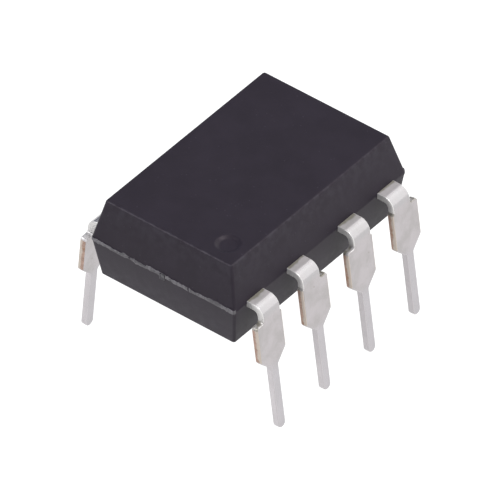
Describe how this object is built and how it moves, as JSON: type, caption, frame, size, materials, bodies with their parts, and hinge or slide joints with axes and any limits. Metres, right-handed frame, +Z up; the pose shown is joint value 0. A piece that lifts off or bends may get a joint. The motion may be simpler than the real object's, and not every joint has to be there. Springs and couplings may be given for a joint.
{
  "type": "dual in-line integrated circuit chip",
  "caption": "Drafted black epoxy chip package with a round corner mark, and tinned leads along both long sides, bent down to narrow pins that plug into a circuit board.",
  "frame": {"origin": "Under the middle of the part, in the plane of the lead tips.", "axes": "+Z up, out of the top face. +Y along the body and along both rows of leads, away from the end with the round mark. +X towards the row that starts with lead 1."},
  "size_m": [0.009, 0.0098, 0.0071],
  "materials": {
    "moulding": "matte charcoal epoxy, finely grained by the mould",
    "lead_frame": "satin tin plating on copper alloy sheet, bare on the sheared edges",
    "paddle": "bare copper alloy sheet",
    "glue": "silver-filled epoxy",
    "silicon": "polished silicon",
    "bond_wire": "drawn gold wire"
  },
  "bodies": {
    "root": {"body": "moulding", "lead_1": "lead_frame", "lead_2": "lead_frame", "lead_3": "lead_frame", "lead_4": "lead_frame", "lead_5": "lead_frame", "lead_6": "lead_frame", "lead_7": "lead_frame", "lead_8": "lead_frame", "die_paddle": "paddle", "die_attach": "glue", "die": "silicon", "bond_wire_1": "bond_wire", "bond_wire_2": "bond_wire", "bond_wire_3": "bond_wire", "bond_wire_4": "bond_wire", "bond_wire_5": "bond_wire", "bond_wire_6": "bond_wire", "bond_wire_7": "bond_wire", "bond_wire_8": "bond_wire"}
  },
  "joints": []
}
